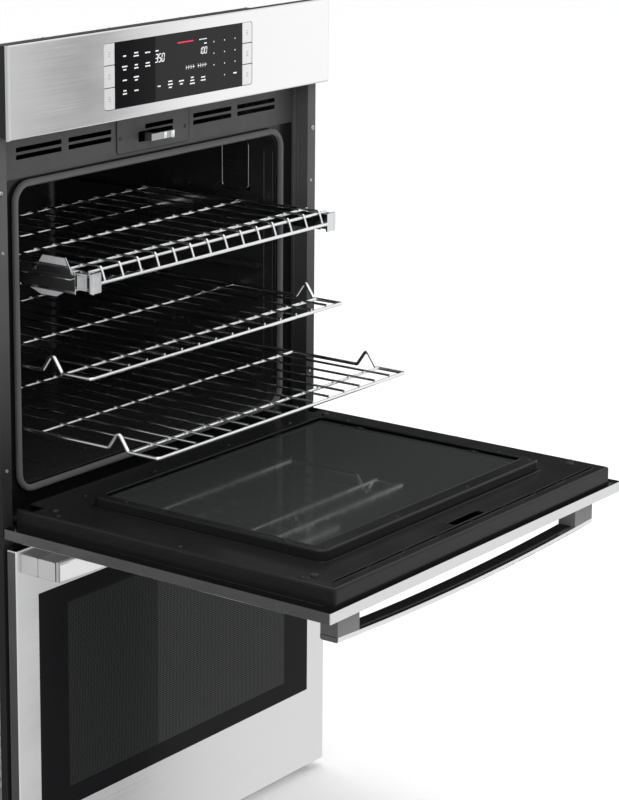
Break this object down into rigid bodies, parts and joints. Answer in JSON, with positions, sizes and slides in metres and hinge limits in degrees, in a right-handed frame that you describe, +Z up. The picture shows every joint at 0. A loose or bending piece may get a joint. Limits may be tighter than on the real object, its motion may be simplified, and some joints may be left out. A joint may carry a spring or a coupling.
{
  "type": "wall oven",
  "caption": "Built-in double wall oven: stacked cavities with drop-down doors, pull-out wire racks, a telescopic shelf, bowed handles and a touch control panel.",
  "frame": {"origin": "centre of the base, on the plane it stands on", "axes": "+Z up, -Y out of the front, +X to the right as seen from the front"},
  "size_m": [0.7556, 1.1541, 1.308],
  "materials": {
    "stainless": "fine horizontal brushing",
    "key_steel": "satin",
    "galvanised": "galvanised sheet",
    "frame_enamel": "gloss enamel",
    "vent_paint": "satin",
    "trim_paint": "satin",
    "black_paint": "satin",
    "black_glass": "polished, opaque black",
    "window_glass": "polished, tinted",
    "cavity_enamel": "speckled vitreous enamel",
    "door_enamel": "gloss vitreous enamel",
    "gasket_fibre": "woven fibre sleeve",
    "rack_chrome": "bright plating",
    "element_alloy": "oxidised alloy sheath",
    "fan_steel": "plain sheet",
    "motor_steel": "plain",
    "lamp_glass": "ribbed",
    "latch_steel": "plain",
    "hinge_zinc": "zinc plated",
    "handle_steel": "bright satin",
    "post_grey": "satin",
    "board_laminate": "circuit laminate"
  },
  "bodies": {
    "chassis": {"fascia": "stainless", "control_box": "black_paint", "control_glass": "black_glass", "control_board": "board_laminate", "chassis_sides": "galvanised", "chassis_top": "galvanised", "chassis_back": "galvanised", "base_pan": "galvanised", "mid_shelf": "galvanised", "junction_box": "galvanised", "cooling_blower": "galvanised", "trim_left": "trim_paint", "trim_right": "trim_paint", "trim_bottom": "black_paint", "fan_motors": "motor_steel", "lamp_lenses": "lamp_glass", "frame_upper": "frame_enamel", "vent_upper": "vent_paint", "latch_plate_upper": "vent_paint", "liner_upper": "cavity_enamel", "gasket_upper": "gasket_fibre", "broil_element_upper": "element_alloy", "fan_cover_upper": "cavity_enamel", "frame_lower": "frame_enamel", "vent_lower": "vent_paint", "latch_plate_lower": "vent_paint", "liner_lower": "cavity_enamel", "gasket_lower": "gasket_fibre", "broil_element_lower": "element_alloy", "fan_cover_lower": "cavity_enamel"},
    "upper_door": {"door_skin_upper": "stainless", "door_pane_upper": "black_glass", "door_liner_upper": "door_enamel", "door_window_upper": "window_glass", "handle_upper": "handle_steel", "handle_posts_upper": "post_grey", "hinges_upper": "hinge_zinc"},
    "lower_door": {"door_skin_lower": "stainless", "door_pane_lower": "black_glass", "door_liner_lower": "door_enamel", "door_window_lower": "window_glass", "handle_lower": "handle_steel", "handle_posts_lower": "post_grey", "hinges_lower": "hinge_zinc"},
    "rack_ub": {"rack_upper_bottom": "rack_chrome"},
    "rack_um": {"rack_upper_middle": "rack_chrome"},
    "rack_lb": {"rack_lower_bottom": "rack_chrome"},
    "rack_lm": {"rack_lower_middle": "rack_chrome"},
    "slide_base": {"slide_frame": "rack_chrome"},
    "slide_top": {"slide_shelf": "rack_chrome"},
    "hook_upper": {"latch_hook_upper": "latch_steel"},
    "hook_lower": {"latch_hook_lower": "latch_steel"},
    "fan_u": {"fan_upper": "fan_steel"},
    "fan_l": {"fan_lower": "fan_steel"},
    "key_left_1": {"key_left_1": "key_steel"},
    "key_left_2": {"key_left_2": "key_steel"},
    "key_left_3": {"key_left_3": "key_steel"},
    "key_right_1": {"key_right_1": "key_steel"},
    "key_right_2": {"key_right_2": "key_steel"},
    "key_right_3": {"key_right_3": "key_steel"}
  },
  "joints": [
    {"name": "upper_door_hinge", "type": "hinge", "parent": "chassis", "child": "upper_door", "pos_m": [0, -0.2869, 0.6013], "axis": [1, 0, 0], "range_deg": [-90, 0]},
    {"name": "lower_door_hinge", "type": "hinge", "parent": "chassis", "child": "lower_door", "pos_m": [0, -0.2869, 0.0235], "axis": [1, 0, 0], "range_deg": [0, 85]},
    {"name": "upper_bottom_rack_slide", "type": "slide", "parent": "chassis", "child": "rack_ub", "axis": [0, -1, 0], "range_m": [-0.3205, 0]},
    {"name": "upper_middle_rack_slide", "type": "slide", "parent": "chassis", "child": "rack_um", "axis": [0, -1, 0], "range_m": [-0.1705, 0]},
    {"name": "telescopic_rack_slide", "type": "slide", "parent": "chassis", "child": "slide_base", "axis": [0, -1, 0], "range_m": [-0.1505, 0]},
    {"name": "telescopic_extension", "type": "slide", "parent": "slide_base", "child": "slide_top", "axis": [0, -1, 0], "range_m": [0, 0.28]},
    {"name": "lower_bottom_rack_slide", "type": "slide", "parent": "chassis", "child": "rack_lb", "axis": [0, -1, 0], "range_m": [0, 0.303]},
    {"name": "lower_middle_rack_slide", "type": "slide", "parent": "chassis", "child": "rack_lm", "axis": [0, -1, 0], "range_m": [0, 0.161]},
    {"name": "upper_latch", "type": "slide", "parent": "chassis", "child": "hook_upper", "axis": [1, 0, 0], "range_m": [0, 0.014]},
    {"name": "lower_latch", "type": "slide", "parent": "chassis", "child": "hook_lower", "axis": [1, 0, 0], "range_m": [0, 0.014]},
    {"name": "upper_fan_spin", "type": "hinge", "parent": "chassis", "child": "fan_u", "pos_m": [0, 0.241, 0.878], "axis": [0, 1, 0], "continuous": true},
    {"name": "lower_fan_spin", "type": "hinge", "parent": "chassis", "child": "fan_l", "pos_m": [0, 0.241, 0.3002], "axis": [0, 1, 0], "continuous": true},
    {"name": "key_left_1_press", "type": "slide", "parent": "chassis", "child": "key_left_1", "axis": [0, 1, 0], "range_m": [0, 0.0015], "stiffness_N_per_m": 250},
    {"name": "key_left_2_press", "type": "slide", "parent": "chassis", "child": "key_left_2", "axis": [0, 1, 0], "range_m": [0, 0.0015], "stiffness_N_per_m": 250},
    {"name": "key_left_3_press", "type": "slide", "parent": "chassis", "child": "key_left_3", "axis": [0, 1, 0], "range_m": [0, 0.0015], "stiffness_N_per_m": 250},
    {"name": "key_right_1_press", "type": "slide", "parent": "chassis", "child": "key_right_1", "axis": [0, 1, 0], "range_m": [0, 0.0015], "stiffness_N_per_m": 250},
    {"name": "key_right_2_press", "type": "slide", "parent": "chassis", "child": "key_right_2", "axis": [0, 1, 0], "range_m": [0, 0.0015], "stiffness_N_per_m": 250},
    {"name": "key_right_3_press", "type": "slide", "parent": "chassis", "child": "key_right_3", "axis": [0, 1, 0], "range_m": [0, 0.0015], "stiffness_N_per_m": 250}
  ],
  "couplings": [
    {"joint": "upper_bottom_rack_slide", "follows": "upper_door_hinge", "m_per_rad": 0.20372},
    {"joint": "upper_middle_rack_slide", "follows": "upper_door_hinge", "m_per_rad": 0.10823},
    {"joint": "telescopic_rack_slide", "follows": "upper_door_hinge", "m_per_rad": 0.09549},
    {"joint": "lower_bottom_rack_slide", "follows": "lower_door_hinge", "m_per_rad": 0.20372},
    {"joint": "lower_middle_rack_slide", "follows": "lower_door_hinge", "m_per_rad": 0.10823}
  ]
}
